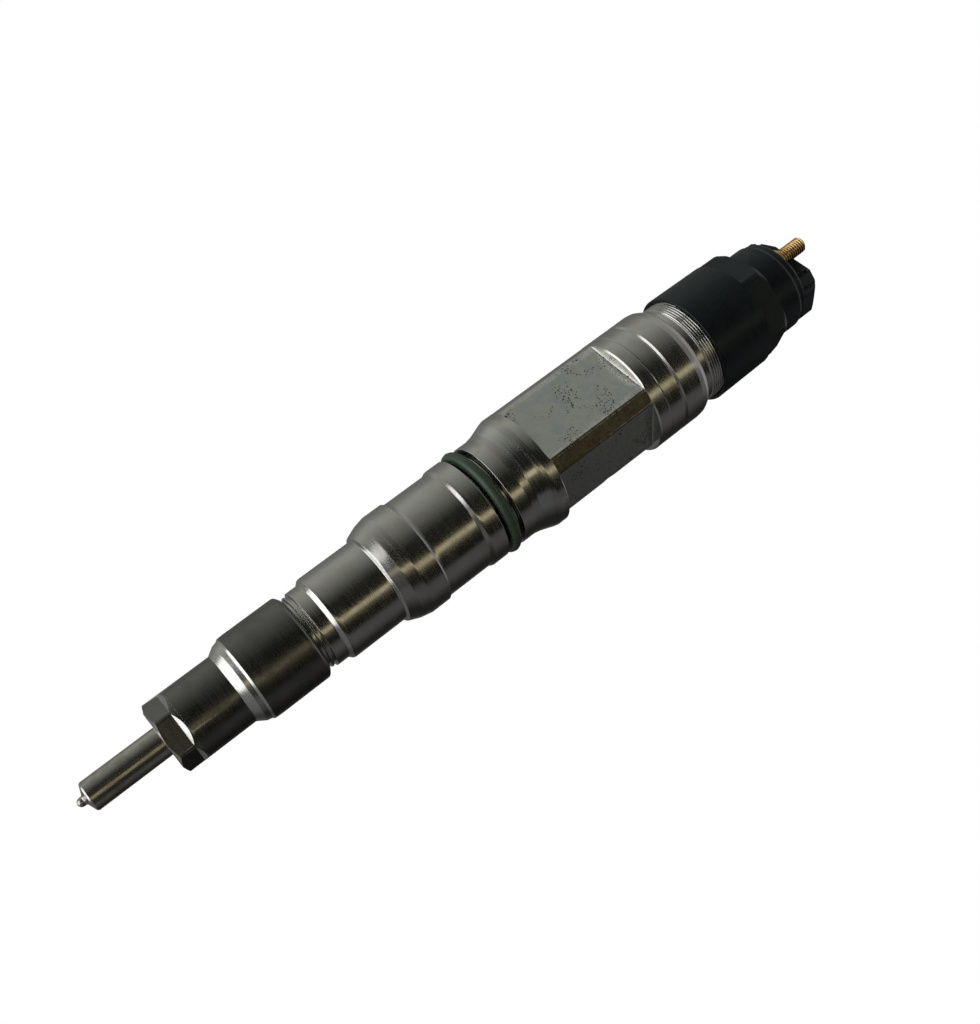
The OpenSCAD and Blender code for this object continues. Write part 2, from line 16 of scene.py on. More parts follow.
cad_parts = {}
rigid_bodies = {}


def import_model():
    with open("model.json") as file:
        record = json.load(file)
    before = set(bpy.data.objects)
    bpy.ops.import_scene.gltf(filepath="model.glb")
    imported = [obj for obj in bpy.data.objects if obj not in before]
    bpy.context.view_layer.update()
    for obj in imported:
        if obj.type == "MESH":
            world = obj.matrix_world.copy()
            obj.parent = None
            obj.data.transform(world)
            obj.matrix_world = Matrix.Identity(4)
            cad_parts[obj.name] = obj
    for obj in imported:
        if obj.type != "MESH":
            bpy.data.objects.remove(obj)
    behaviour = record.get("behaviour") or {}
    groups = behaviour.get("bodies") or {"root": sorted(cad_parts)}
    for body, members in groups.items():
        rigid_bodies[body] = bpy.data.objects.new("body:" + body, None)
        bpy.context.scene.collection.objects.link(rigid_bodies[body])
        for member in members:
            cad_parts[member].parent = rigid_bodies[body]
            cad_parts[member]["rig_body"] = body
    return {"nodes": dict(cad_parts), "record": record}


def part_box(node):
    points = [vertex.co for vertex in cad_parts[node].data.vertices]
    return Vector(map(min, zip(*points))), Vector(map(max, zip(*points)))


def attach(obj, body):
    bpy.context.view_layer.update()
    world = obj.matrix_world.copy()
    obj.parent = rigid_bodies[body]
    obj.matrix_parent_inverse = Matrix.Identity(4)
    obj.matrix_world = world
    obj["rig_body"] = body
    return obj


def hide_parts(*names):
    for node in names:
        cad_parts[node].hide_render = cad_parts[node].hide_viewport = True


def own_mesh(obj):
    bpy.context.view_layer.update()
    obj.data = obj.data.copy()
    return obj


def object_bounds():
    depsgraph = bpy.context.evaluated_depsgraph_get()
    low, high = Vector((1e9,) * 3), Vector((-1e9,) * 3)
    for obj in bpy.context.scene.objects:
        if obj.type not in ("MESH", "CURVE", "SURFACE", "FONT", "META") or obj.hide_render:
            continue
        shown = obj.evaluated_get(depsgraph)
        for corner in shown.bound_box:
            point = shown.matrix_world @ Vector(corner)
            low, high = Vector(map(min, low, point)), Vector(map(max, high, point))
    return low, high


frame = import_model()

MM = 0.001
cad_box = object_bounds()
nodes = frame["nodes"]
print("nodes in the frame:", len(nodes), "and its box:", [list(corner) for corner in cad_box])

# %% [markdown]
# ## Camera
# The injector is seen from a little below its middle and from its nozzle end, lying across the picture.
# The camera stands on a line that leaves the part's axis, and it is rolled about that line, so that the
# part itself can stay upright in its own frame.

# %% Camera
camera_round, camera_height, camera_roll = (math.radians(a) for a in (-15, -17.3, 52.9))
camera_distance = 0.284
camera_aim_z = 0.0863
camera_side_shift = 0.003
toward = Vector((math.sin(camera_round) * math.cos(camera_height),
                 -math.cos(camera_round) * math.cos(camera_height), math.sin(camera_height)))
level = Vector((math.cos(camera_round), math.sin(camera_round), 0))
upright = toward.cross(level)
across = math.cos(camera_roll) * level + math.sin(camera_roll) * upright
upward = math.cos(camera_roll) * upright - math.sin(camera_roll) * level
camera = bpy.data.objects.new("camera", bpy.data.cameras.new("camera"))
bpy.context.scene.collection.objects.link(camera)
place = Vector((0, 0, camera_aim_z)) + camera_distance * toward + camera_side_shift * level
camera.matrix_world = Matrix.Translation(place) @ Matrix((across, upward, toward)).transposed().to_4x4()
camera.data.lens = 43.95
camera.data.clip_start, camera.data.clip_end = 0.01, 10
bpy.context.scene.camera = camera
bpy.context.scene.view_settings.view_transform = "Standard"
print("camera at", [round(c, 4) for c in place])

# %% [markdown]
# ## Wiring nodes
# Shader trees are easier to read when one line makes a node, sets it and joins it.
# `add` does that, and `calc` is the same for one step of arithmetic.

# %% Wiring helpers
def add(tree, kind, inputs=(), **settings):
    """A new node: its settings are made, and each input takes a value or a link."""
    made = tree.nodes.new(kind)
    for name, value in settings.items():
        setattr(made, name, value)
    for name, value in dict(inputs).items():
        if isinstance(value, bpy.types.NodeSocket):
            tree.links.new(value, made.inputs[name])
        else:
            made.inputs[name].default_value = value
    return made


def calc(tree, operation, *values):
    """The result of one arithmetic step."""
    return add(tree, "ShaderNodeMath", enumerate(values), operation=operation).outputs[0]


def between(tree, value, low, high, to_low=0.0, to_high=1.0):
    """The value, carried from one range to another with soft ends."""
    return add(tree, "ShaderNodeMapRange", {"Value": value, "From Min": low, "From Max": high,
               "To Min": to_low, "To Max": to_high}, interpolation_type="SMOOTHSTEP").outputs[0]


def blend_of(tree, share, first, second):
    """First and second colour, mixed by a share from 0 to 1."""
    mix = add(tree, "ShaderNodeMix", data_type="RGBA")
    for socket, value in ((mix.inputs[0], share), (mix.inputs[6], first), (mix.inputs[7], second)):
        if isinstance(value, bpy.types.NodeSocket):
            tree.links.new(value, socket)
        else:
            socket.default_value = (*value, 1) if hasattr(value, "__len__") and len(value) == 3 else value
    return mix.outputs[2]


print("wiring helpers ready")

# %% [markdown]
# ## Studio light
# Bright metal shows only what stands round it, so the light is a room and not a lamp.
# A broad soft panel stands to the left of the camera and a narrow warm one to the right. A large white
# panel lies low on the left, past the nozzle's end, where it lights the edges that face the tip.
# The panels lean a little, so a cone shows them further round than a straight part does.
# A world shader holds them all, because a world lights all sides without hard shadows.

# %% Studio light
facing_angle = math.degrees(math.atan2(toward.y, toward.x))
world = bpy.data.worlds.new("studio")
bpy.context.scene.world = world
world.use_nodes = True
room = world.node_tree
room.nodes.clear()
direction = add(room, "ShaderNodeTexCoord").outputs["Generated"]
turned_room = add(room, "ShaderNodeVectorRotate", {"Vector": direction, "Angle": -math.radians(facing_angle)},
                  rotation_type="Z_AXIS").outputs[0]
parts = add(room, "ShaderNodeSeparateXYZ", {"Vector": turned_room})
around = calc(room, "ARCTAN2", parts.outputs["Y"], parts.outputs["X"])
LEAN, UPRIGHT_AT = 0.44, 0.29
lean = calc(room, "MULTIPLY_ADD", parts.outputs["Z"], -LEAN, LEAN * UPRIGHT_AT)
turn = calc(room, "MULTIPLY_ADD", calc(room, "ADD", around, lean), 1 / math.tau, 0.5)
panels = add(room, "ShaderNodeValToRGB", {"Fac": turn})
PANELS = (  # angle round the part from the camera, then the light that comes from there
    (-180, (0.13, 0.13, 0.13)), (-142, (0.19, 0.19, 0.19)), (-122, (0.265, 0.27, 0.25)),
    (-104, (0.41, 0.42, 0.385)), (-88, (0.40, 0.41, 0.375)), (-63, (0.265, 0.27, 0.245)),
    (-44, (0.165, 0.17, 0.152)), (-28, (0.070, 0.072, 0.064)), (-15, (0.018, 0.018, 0.016)),
    (12, (0.014, 0.014, 0.011)), (21, (0.05, 0.045, 0.026)), (25, (0.62, 0.55, 0.36)),
    (31, (0.62, 0.55, 0.36)), (36, (0.10, 0.09, 0.058)), (47, (0.018, 0.017, 0.012)),
    (66, (0.008, 0.008, 0.007)), (75, (0.090, 0.090, 0.090)), (95, (0.100, 0.098, 0.097)),
    (112, (0.052, 0.050, 0.048)), (126, (0.020, 0.019, 0.018)), (150, (0.022, 0.022, 0.022)),
    (180, (0.13, 0.13, 0.13)))
stops = panels.color_ramp.elements
stops.remove(stops[1])
stops[0].position, stops[0].color = 0, (*PANELS[0][1], 1)
for angle, light in PANELS[1:]:
    stops.new((angle + 180) / 360).color = (*light, 1)
height = parts.outputs["Z"]
low_panel_round, low_panel_drop = math.radians(-60), math.radians(-65)
low_panel_edge, low_panel_core = math.radians(41), math.radians(34)
low_panel = Vector((math.cos(low_panel_round) * math.cos(low_panel_drop),
                    math.sin(low_panel_round) * math.cos(low_panel_drop), math.sin(low_panel_drop)))
facing_low = add(room, "ShaderNodeVectorMath", {0: turned_room, 1: low_panel},
                 operation="DOT_PRODUCT").outputs["Value"]
low_share = between(room, facing_low, math.cos(low_panel_edge), math.cos(low_panel_core))
floor_share = between(room, height, -0.35, -0.70)
top_share = between(room, height, 0.55, 0.85)
FLOOR_LIGHT, TOP_LIGHT, LOW_LIGHT = (0.16, 0.16, 0.16), (0.40, 0.40, 0.41), (1.9, 1.9, 1.9)
lit = panels.outputs[0]
for share, light in ((floor_share, FLOOR_LIGHT), (top_share, TOP_LIGHT), (low_share, LOW_LIGHT)):
    lit = blend_of(room, share, lit, light)
seen = add(room, "ShaderNodeLightPath").outputs["Is Camera Ray"]
colour = blend_of(room, seen, lit, (1.0, 1.0, 1.0))
back = add(room, "ShaderNodeBackground", {"Color": colour, "Strength": 1.0})
add(room, "ShaderNodeOutputWorld", {"Surface": back.outputs[0]})
print("light panels:", len(PANELS), "round the part, one low and one above")

# %% [markdown]
# ## Floor
# A plain white floor lies just under the nozzle tip. It shows to the camera only: light passes through it,
# so the low panel still reaches the edges that face down.

# %% Floor
def flat_sheet(name, half, z):
    """A square sheet, level, at one height."""
    mesh = bpy.data.meshes.new(name)
    corners = [(-half, -half, z), (half, -half, z), (half, half, z), (-half, half, z)]
    mesh.from_pydata(corners, [], [(0, 1, 2, 3)])
    sheet = bpy.data.objects.new(name, mesh)
    bpy.context.scene.collection.objects.link(sheet)
    return sheet


floor = flat_sheet("floor", 4.0, cad_box[0].z - 0.0005)
pale = bpy.data.materials.new("pale_floor")
pale.use_nodes = True
pale.node_tree.nodes.clear()
white = add(pale.node_tree, "ShaderNodeEmission", {"Color": (1, 1, 1, 1), "Strength": 1.0})
clear = add(pale.node_tree, "ShaderNodeBsdfTransparent")
seen = add(pale.node_tree, "ShaderNodeLightPath").outputs["Is Camera Ray"]
both = add(pale.node_tree, "ShaderNodeMixShader", {0: seen, 1: clear.outputs[0], 2: white.outputs[0]})
add(pale.node_tree, "ShaderNodeOutputMaterial", {"Surface": both.outputs[0]})
floor.data.materials.append(pale)
print("floor at", round(floor.data.vertices[0].co.z, 4))

# %% [markdown]
# ## Surface effects
# Five effects come back on many finishes: the lines that a tool leaves, edges that rub bright, cloudy
# stains, small pits and a fine grain. Each is a node group that puts out a mask from 0 to 1, so a finish
# can use it in its colour, its roughness and its relief at once. All sizes are in millimetres.

# %% Effect groups
def effect(name, **inputs):
    """An empty node group with number inputs and one mask output, and the part's own millimetres."""
    group = bpy.data.node_groups.new(name, "ShaderNodeTree")
    for label, value in inputs.items():
        socket = group.interface.new_socket(label, in_out="INPUT", socket_type="NodeSocketFloat")
        socket.default_value = value
    group.interface.new_socket("mask", in_out="OUTPUT", socket_type="NodeSocketFloat")
    given = group.nodes.new("NodeGroupInput").outputs
    point = add(group, "ShaderNodeTexCoord").outputs["Object"]
    scaled = add(group, "ShaderNodeVectorMath", {0: point, "Scale": 1 / MM}, operation="SCALE")
    return group, given, scaled.outputs[0]


def hand_out(group, mask):
    """Ends the group with its mask."""
    add(group, "NodeGroupOutput", {"mask": mask})
    return group


# %% [markdown]
# ### Tool lines
# A turning tool leaves rings, and a drawing die leaves streaks along the part. Both are one noise,
# stretched by a different amount round the part and along it.

# %% Tool lines
group, given, millimetres = effect("tool_lines", round_per_mm=0.1, along_per_mm=6.0)
stretch = add(group, "ShaderNodeCombineXYZ", {"X": given["round_per_mm"], "Y": given["round_per_mm"],
                                              "Z": given["along_per_mm"]}).outputs[0]
drawn = add(group, "ShaderNodeVectorMath", {0: millimetres, 1: stretch}, operation="MULTIPLY").outputs[0]
lines = add(group, "ShaderNodeTexNoise", {"Vector": drawn, "Scale": 1.0, "Detail": 4.0, "Roughness": 0.7})
tool_lines = hand_out(group, between(group, lines.outputs[0], 0.3, 0.7))
print("group:", tool_lines.name)

# %% [markdown]
# ### Worn edges
# Handling rubs the finish off the sharpest edges. The pointiness of the mesh finds those edges, and a
# noise breaks the rub up, so that no edge is worn all along.

# %% Worn edges
group, given, millimetres = effect("worn_edges", reach=0.06, breaks_per_mm=0.6)
sharp = add(group, "ShaderNodeNewGeometry").outputs["Pointiness"]
breaks = add(group, "ShaderNodeTexNoise", {"Vector": millimetres, "Scale": given["breaks_per_mm"],
                                           "Detail": 5.0, "Roughness": 0.65}).outputs[0]
edge_from = 0.516
edge = between(group, sharp, edge_from, calc(group, "ADD", given["reach"], edge_from))
worn_edges = hand_out(group, calc(group, "MULTIPLY", edge, between(group, breaks, 0.35, 0.6)))
print("group:", worn_edges.name)

# %% [markdown]
# ### Cloudy stain
# Oil, heat and storage leave clouds on bare steel. A noise bent by its own colour gives soft edges that
# don't look like a plain noise.

# %% Cloudy stain
group, given, millimetres = effect("cloudy_stain", per_mm=0.15, low=0.45, high=0.65)
cloud = add(group, "ShaderNodeTexNoise", {"Vector": millimetres, "Scale": given["per_mm"], "Detail": 6.0,
                                          "Roughness": 0.62, "Distortion": 0.9}).outputs[0]
cloudy_stain = hand_out(group, between(group, cloud, given["low"], given["high"]))
print("group:", cloudy_stain.name)

# %% [markdown]
# ### Small pits
# Damp leaves pits in groups. Voronoi cells give round dots of several sizes, and a cloud decides where
# the groups are.

# %% Small pits
group, given, millimetres = effect("small_pits", per_mm=1.6, size=0.3, groups_per_mm=0.12, groups_above=0.55)
bent = add(group, "ShaderNodeTexNoise", {"Vector": millimetres, "Scale": 2.0, "Detail": 2.0}).outputs["Color"]
bent = add(group, "ShaderNodeVectorMath", {0: bent, "Scale": 0.5}, operation="SCALE").outputs[0]
bent = add(group, "ShaderNodeVectorMath", {0: bent, 1: millimetres}, operation="ADD").outputs[0]
cells = add(group, "ShaderNodeTexVoronoi", {"Vector": bent, "Scale": given["per_mm"], "Randomness": 1.0})
own_size = add(group, "ShaderNodeSeparateXYZ", {"Vector": cells.outputs["Color"]}).outputs["X"]
own_size = calc(group, "MULTIPLY", calc(group, "POWER", own_size, 2.0), given["size"])
dots = calc(group, "LESS_THAN", cells.outputs["Distance"], own_size)
here = add(group, "ShaderNodeTexNoise", {"Vector": millimetres, "Scale": given["groups_per_mm"],
                                         "Detail": 3.0, "Distortion": 1.2}).outputs[0]
grouped = calc(group, "GREATER_THAN", here, given["groups_above"])
small_pits = hand_out(group, calc(group, "MULTIPLY", dots, grouped))
print("group:", small_pits.name)

# %% [markdown]
# ### Fine grain
# Phosphate, cast plastic and rubber all have a grain finer than a tenth of a millimetre.

# %% Fine grain
group, given, millimetres = effect("fine_grain", per_mm=9.0)
grain = add(group, "ShaderNodeTexNoise", {"Vector": millimetres, "Scale": given["per_mm"], "Detail": 3.0,
                                          "Roughness": 0.6}).outputs[0]
fine_grain = hand_out(group, between(group, grain, 0.3, 0.7))
print("group:", fine_grain.name)

# %% [markdown]
# ## One recipe for a finish
# A finish is a ground colour, a stain that clouds it, and an edge colour where it is rubbed, over a
# surface with tool lines and a grain. `finish` wires the effects to one Principled shader, and each
# finish below is one call with its own values. What is the same all over is set on the shader itself.

# %% Finish recipe
def use(tree, effect_group, **values):
    """One effect in a material, with its own values."""
    placed = add(tree, "ShaderNodeGroup", node_tree=effect_group)
    for name, value in values.items():
        placed.inputs[name].default_value = value
    return placed.outputs["mask"]


finishes = {}


def finish(name, ground, stain, edge, roughness, lines=(0.1, 6.0), line_depth=0.3, grain=(9.0, 0.2),
           clouds=(0.15, 0.42, 0.66), stain_share=0.5, wear=0.06, pits=None, metallic=1.0, **fixed):
    """A material. Depths are shares of a hundredth of a millimetre; pits is (per mm, size, above, colour)."""
    material = finishes[name] = bpy.data.materials.new(name)
    material.use_nodes = True
    tree = material.node_tree
    shader = tree.nodes["Principled BSDF"]
    shader.inputs["Metallic"].default_value = metallic
    for label, value in fixed.items():
        shader.inputs[label.replace("_", " ").title().replace("Ior", "IOR")].default_value = value
    marks = use(tree, tool_lines, round_per_mm=lines[0], along_per_mm=lines[1])
    dust = use(tree, fine_grain, per_mm=grain[0])
    stained = use(tree, cloudy_stain, per_mm=clouds[0], low=clouds[1], high=clouds[2])
    rubbed = use(tree, worn_edges, reach=wear)
    base = blend_of(tree, calc(tree, "MULTIPLY", stained, stain_share), ground, stain)
    shade = calc(tree, "MULTIPLY_ADD", calc(tree, "ADD", marks, dust), 0.11, 0.89)
    base = blend_of(tree, shade, tuple(0.45 * c for c in ground), base)
    base = blend_of(tree, rubbed, base, edge)
    rough = calc(tree, "MULTIPLY_ADD", calc(tree, "ADD", marks, dust), 0.12, roughness - 0.12)
    rough = calc(tree, "MULTIPLY_ADD", stained, 0.06, rough)
    relief = calc(tree, "MULTIPLY", marks, line_depth)
    relief = calc(tree, "MULTIPLY_ADD", dust, grain[1], relief)
    if pits:
        per_mm, size, above, colour_of_pit = pits
        pitted = use(tree, small_pits, per_mm=per_mm, size=size, groups_above=above)
        base = blend_of(tree, pitted, base, colour_of_pit)
        rough = calc(tree, "MULTIPLY_ADD", pitted, 0.35, rough)
        relief = calc(tree, "MULTIPLY_ADD", pitted, -3.0, relief)
    bump = add(tree, "ShaderNodeBump", {"Height": relief, "Distance": 0.01 * MM, "Strength": 1.0})
    tree.links.new(base, shader.inputs["Base Color"])
    tree.links.new(rough, shader.inputs["Roughness"])
    tree.links.new(bump.outputs[0], shader.inputs["Normal"])
    return material


# %% [markdown]
# ## Steels of the body
# The body is bar steel, turned and then ground, and stored in oil: a satin grey with a faint warm cloud.
# Its spanner flats are milled and stained by damp, two of the corners between them are still as forged,
# and the flare above the seal is polished where the head's bore guides it.

# %% Body steels
body_steel = finish("body_steel", (0.56, 0.56, 0.54), (0.50, 0.47, 0.42), (0.80, 0.80, 0.78), 0.17,
                    lines=(0.08, 3.5), line_depth=0.05, grain=(4.0, 0.04), stain_share=0.55,
                    pits=(0.8, 0.22, 0.66, (0.13, 0.09, 0.06)))
flat_steel = finish("flat_steel", (0.63, 0.645, 0.60), (0.50, 0.555, 0.585), (0.80, 0.80, 0.78), 0.33,
                    lines=(1.6, 1.6), line_depth=0.15, grain=(3.0, 0.30), clouds=(0.28, 0.44, 0.62),
                    stain_share=0.7, pits=(2.6, 0.60, 0.55, (0.035, 0.035, 0.04)))
forged_steel = finish("forged_steel", (0.17, 0.155, 0.105), (0.12, 0.105, 0.07), (0.50, 0.47, 0.40), 0.40,
                      lines=(2.5, 2.5), line_depth=0.8, grain=(3.5, 1.2), clouds=(0.5, 0.35, 0.65),
                      stain_share=0.9, pits=(2.4, 0.5, 0.3, (0.08, 0.07, 0.05)))
flare_steel = finish("flare_steel", (0.64, 0.65, 0.65), (0.56, 0.58, 0.60), (0.85, 0.85, 0.84), 0.12,
                     lines=(0.05, 3.0), line_depth=0.02, grain=(6.0, 0.02), stain_share=0.6)
print("body steels:", body_steel.name, flat_steel.name, forged_steel.name, flare_steel.name)

# %% [markdown]
# ## Steels of the nozzle end
# The nozzle is hardened and ground, and heat and oil have darkened it, with streaks along the shank.
# Its nut is phosphated, which is a dark grey, finely grained skin that rubs bright on its edges.

# %% Nozzle steels
nozzle_steel = finish("nozzle_steel", (0.52, 0.51, 0.48), (0.36, 0.33, 0.28), (0.80, 0.79, 0.76), 0.22,
                      lines=(6.0, 0.05), line_depth=0.4, grain=(10.0, 0.08), clouds=(0.35, 0.4, 0.65),
                      stain_share=0.7)
phosphated_steel = finish("phosphated_steel", (0.20, 0.20, 0.19), (0.15, 0.148, 0.14),
                          (0.75, 0.75, 0.73), 0.28, lines=(0.1, 3.5), line_depth=0.06, grain=(5.0, 0.12),
                          stain_share=0.6, wear=0.10, pits=(0.7, 0.16, 0.62, (0.5, 0.5, 0.48)))
print("nozzle steels:", nozzle_steel.name, phosphated_steel.name)

# %% [markdown]
# ## Finishes inside
# What runs inside is ground or lapped: fine steel, dark spring wire, sintered iron for the magnet, a
# ceramic ball, enamelled copper and a soft brass ring. They show when the injector is taken apart.

# %% Inside finishes
ground_steel = finish("ground_steel", (0.62, 0.62, 0.60), (0.55, 0.54, 0.51), (0.80, 0.80, 0.79), 0.22,
                      lines=(0.1, 12.0), line_depth=0.06, grain=(12.0, 0.05))
spring_steel = finish("spring_steel", (0.30, 0.30, 0.32), (0.22, 0.21, 0.22), (0.60, 0.60, 0.60), 0.34,
                      lines=(4.0, 4.0), line_depth=0.2)
magnet_iron = finish("magnet_iron", (0.20, 0.20, 0.20), (0.26, 0.24, 0.22), (0.50, 0.50, 0.50), 0.55,
                     lines=(3.0, 3.0), line_depth=0.3, grain=(6.0, 1.0),
                     pits=(3.5, 0.35, 0.35, (0.06, 0.06, 0.06)))
ball_ceramic = finish("ball_ceramic", (0.75, 0.75, 0.74), (0.70, 0.70, 0.70), (0.85, 0.85, 0.85), 0.14,
                      line_depth=0.02, grain=(12.0, 0.02), stain_share=0.3)
copper_wire = finish("copper_wire", (0.62, 0.26, 0.11), (0.50, 0.19, 0.08), (0.80, 0.42, 0.22), 0.26,
                     lines=(0.3, 3.0), line_depth=0.1, coat_weight=0.6)
soft_brass = finish("soft_brass", (0.62, 0.42, 0.22), (0.50, 0.33, 0.18), (0.80, 0.62, 0.40), 0.30,
                    lines=(0.2, 6.0), line_depth=0.1)
print("inside finishes:", ground_steel.name, spring_steel.name, magnet_iron.name, ball_ceramic.name)

# %% [markdown]
# ## Black nut, brass and plastics
# The solenoid nut has a thin blue-black finish, with a slight mottle and pale rubbed edges. The studs are
# rolled brass, browner at the base. The cap and the bobbin are moulded, and the seals are rubber, so
# those four are not metal and take their gloss from a plain reflection.

# %% Nut, brass, plastic and rubber
black_nut_steel = finish("black_nut_steel", (0.0032, 0.0042, 0.0052), (0.006, 0.007, 0.008),
                         (0.06, 0.064, 0.068), 0.34, lines=(0.3, 4.0), line_depth=0.05, grain=(6.0, 0.10),
                         clouds=(0.25, 0.4, 0.62), stain_share=0.7, wear=0.15, metallic=0.0,
                         specular_ior_level=0.4, specular_tint=(0.75, 0.92, 1.0, 1.0))
terminal_brass = finish("terminal_brass", (0.72, 0.48, 0.18), (0.40, 0.19, 0.08), (0.98, 0.82, 0.48), 0.20,
                        lines=(1.2, 1.2), line_depth=0.2, grain=(10.0, 0.2), clouds=(0.5, 0.4, 0.6),
                        stain_share=0.6, wear=0.05)
black_plastic = finish("black_plastic", (0.003, 0.0036, 0.0046), (0.005, 0.006, 0.007),
                       (0.015, 0.016, 0.018), 0.36, lines=(0.5, 0.5), line_depth=0.1, grain=(5.0, 0.2),
                       metallic=0.0, wear=0.2, specular_ior_level=0.4,
                       specular_tint=(0.75, 0.92, 1.0, 1.0))
bobbin_plastic = finish("bobbin_plastic", (0.62, 0.58, 0.44), (0.56, 0.50, 0.36), (0.70, 0.66, 0.54), 0.48,
                        lines=(0.5, 0.5), line_depth=0.1, grain=(6.0, 0.4), metallic=0.0)
green_rubber = finish("green_rubber", (0.042, 0.072, 0.040), (0.032, 0.054, 0.032), (0.09, 0.13, 0.08), 0.42,
                      lines=(0.4, 2.0), line_depth=0.15, grain=(8.0, 0.4), metallic=0.0, wear=0.3)
black_rubber = finish("black_rubber", (0.020, 0.020, 0.020), (0.030, 0.029, 0.028), (0.05, 0.05, 0.05), 0.55,
                      lines=(0.4, 2.0), line_depth=0.2, grain=(8.0, 0.6), metallic=0.0, wear=0.3)
print("other finishes:", black_nut_steel.name, terminal_brass.name, black_plastic.name, green_rubber.name)

# %% [markdown]
# ## Turned outlines
# A turned part is half of its outline, swept round the axis. The outline is a list of corners, each with
# its radius, its height and, where a tool or a file has rounded it, the size of the rounding.
# The arcs are true, and short spans next to each corner keep the shading of the long faces flat.

# %% Outline helpers
ARC_STEP = math.radians(20)
SPAN = 0.3


def rounded(*corners):
    """Points of an outline in mm from (radius, height) or (radius, height, rounding) corners."""
    points = []
    for index, corner in enumerate(corners):
        here, size = Vector(corner[:2]), (corner[2] if len(corner) > 2 else 0)
        if not size:
            points.append(here)
            continue
        before = Vector(corners[index - 1][:2]) - here
        after = Vector(corners[(index + 1) % len(corners)][:2]) - here
        turn = math.pi - before.angle(after)
        reach = min(size * math.tan(turn / 2), 0.48 * before.length, 0.48 * after.length)
        size = reach / math.tan(turn / 2)
        inward = (before.normalized() + after.normalized()).normalized()
        centre = here + inward * size / math.cos(turn / 2)
        start, end = here + before.normalized() * reach - centre, here + after.normalized() * reach - centre
        steps = max(2, math.ceil(turn / ARC_STEP))
        swing = start.angle_signed(end)
        points += [centre + Matrix.Rotation(-swing * s / steps, 2) @ start for s in range(steps + 1)]
    return points


def spanned(points, closed=False):
    """The same points, with one more near each end of every long span."""
    made = []
    pairs = list(zip(points, points[1:] + points[:1] if closed else points[1:]))
    for first, second in pairs:
        made.append(first)
        length = (second - first).length
        if length > 3 * SPAN:
            made += [first.lerp(second, SPAN / length), second.lerp(first, SPAN / length)]
    return made if closed else made + [points[-1]]


def even_angles(count):
    """Angles all round, evenly apart."""
    return [math.tau * k / count for k in range(count)]


print("a rounded corner makes", len(rounded((1, 0), (1, 1, 0.2), (0, 1))), "points")

# %% [markdown]
# ## From outline to mesh
# `skin` lays rows of points round the axis and joins them. A row is one (radius, height) pair, or a
# function of the angle where a flat or a thread changes it. A closed outline gives a hollow part, and an
# open one that starts and ends on the axis gives a solid part.

# %% Mesh helpers
CREASE = math.radians(38)


def tidy_mesh(built, name):
    """A clean object from a bmesh: merged, facing outward, smooth with creases."""
    bmesh.ops.remove_doubles(built, verts=built.verts, dist=0.0002 * MM)
    bmesh.ops.dissolve_degenerate(built, dist=0.0002 * MM, edges=built.edges)
    bmesh.ops.recalc_face_normals(built, faces=built.faces)
    mesh = bpy.data.meshes.new(name)
    built.to_mesh(mesh)
    built.free()
    mesh.polygons.foreach_set("use_smooth", [True] * len(mesh.polygons))
    mesh.set_sharp_from_angle(angle=CREASE)
    piece = bpy.data.objects.new(name, mesh)
    bpy.context.scene.collection.objects.link(piece)
    return piece


def skin(name, rows, angles, closed=False):
    """A part from rows of (radius, height) in mm, laid round the Z axis."""
    built = bmesh.new()
    grid = []
    for row in rows:
        ring = [row(a) if callable(row) else row for a in angles]
        grid.append([built.verts.new((r * math.cos(a) * MM, r * math.sin(a) * MM, z * MM))
                     for a, (r, z) in zip(angles, ring)])
    count = len(angles)
    for lower, upper in zip(grid, grid[1:] + (grid[:1] if closed else [])):
        for k in range(count):
            built.faces.new((lower[k], lower[(k + 1) % count], upper[(k + 1) % count], upper[k]))
    return tidy_mesh(built, name)


def applied(piece):
    """The piece with its modifiers made real."""
    bpy.context.view_layer.update()
    graph = bpy.context.evaluated_depsgraph_get()
    mesh = bpy.data.meshes.new_from_object(piece.evaluated_get(graph))
    piece.modifiers.clear()
    piece.data = mesh
    mesh.polygons.foreach_set("use_smooth", [True] * len(mesh.polygons))
    mesh.set_sharp_from_angle(angle=CREASE)
    return piece


def combine(piece, others, operation="DIFFERENCE"):
    """The piece after each other shape is cut from it, joined to it or kept in common with it."""
    for other in others:
        change = piece.modifiers.new("shape", "BOOLEAN")
        change.operation, change.solver, change.object = operation, "EXACT", other
    applied(piece)
    for other in others:
        bpy.data.objects.remove(other)
    return piece


def cutter(points, at=(0, 0, 0), way=(0, 0, 1), sides=32):
    """A turned cutter from (radius, height) points in mm, set at a place and along a direction."""
    shape = skin("cutter", rounded(*points), even_angles(sides))
    turn = Vector(way).to_track_quat("Z", "Y").to_matrix().to_4x4()
    shape.data.transform(Matrix.Translation(Vector(at) * MM) @ turn)
    return shape


def drill(radius, low, high, **place):
    """A plain round cutter from one height to another."""
    return cutter([(0, low), (radius, low), (radius, high), (0, high)], **place)


def polar(radius, angle, z=0):
    """A place or a direction, from its distance and angle round the axis."""
    return radius * math.cos(angle), radius * math.sin(angle), z


def fit(piece, node, slot, *materials):
    """The piece stands for a node, rides on that node's body and takes its finish."""
    for material in materials:
        piece.data.materials.append(material)
    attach(piece, nodes[node]["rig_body"])
    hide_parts(node)
    print(f"{piece.name}: {len(piece.data.polygons)} faces, stands for {node}")
    return piece


print("mesh helpers ready")

# %% [markdown]
# ## Nozzle body
# The nozzle ends in a small dome that holds the spray holes. The flank behind it is hollow ground, and a
# long ground shank carries it to a collar inside the nut. Its bore, fuel gallery and seat are turned in
# the same outline, so the part is a true hollow shell.

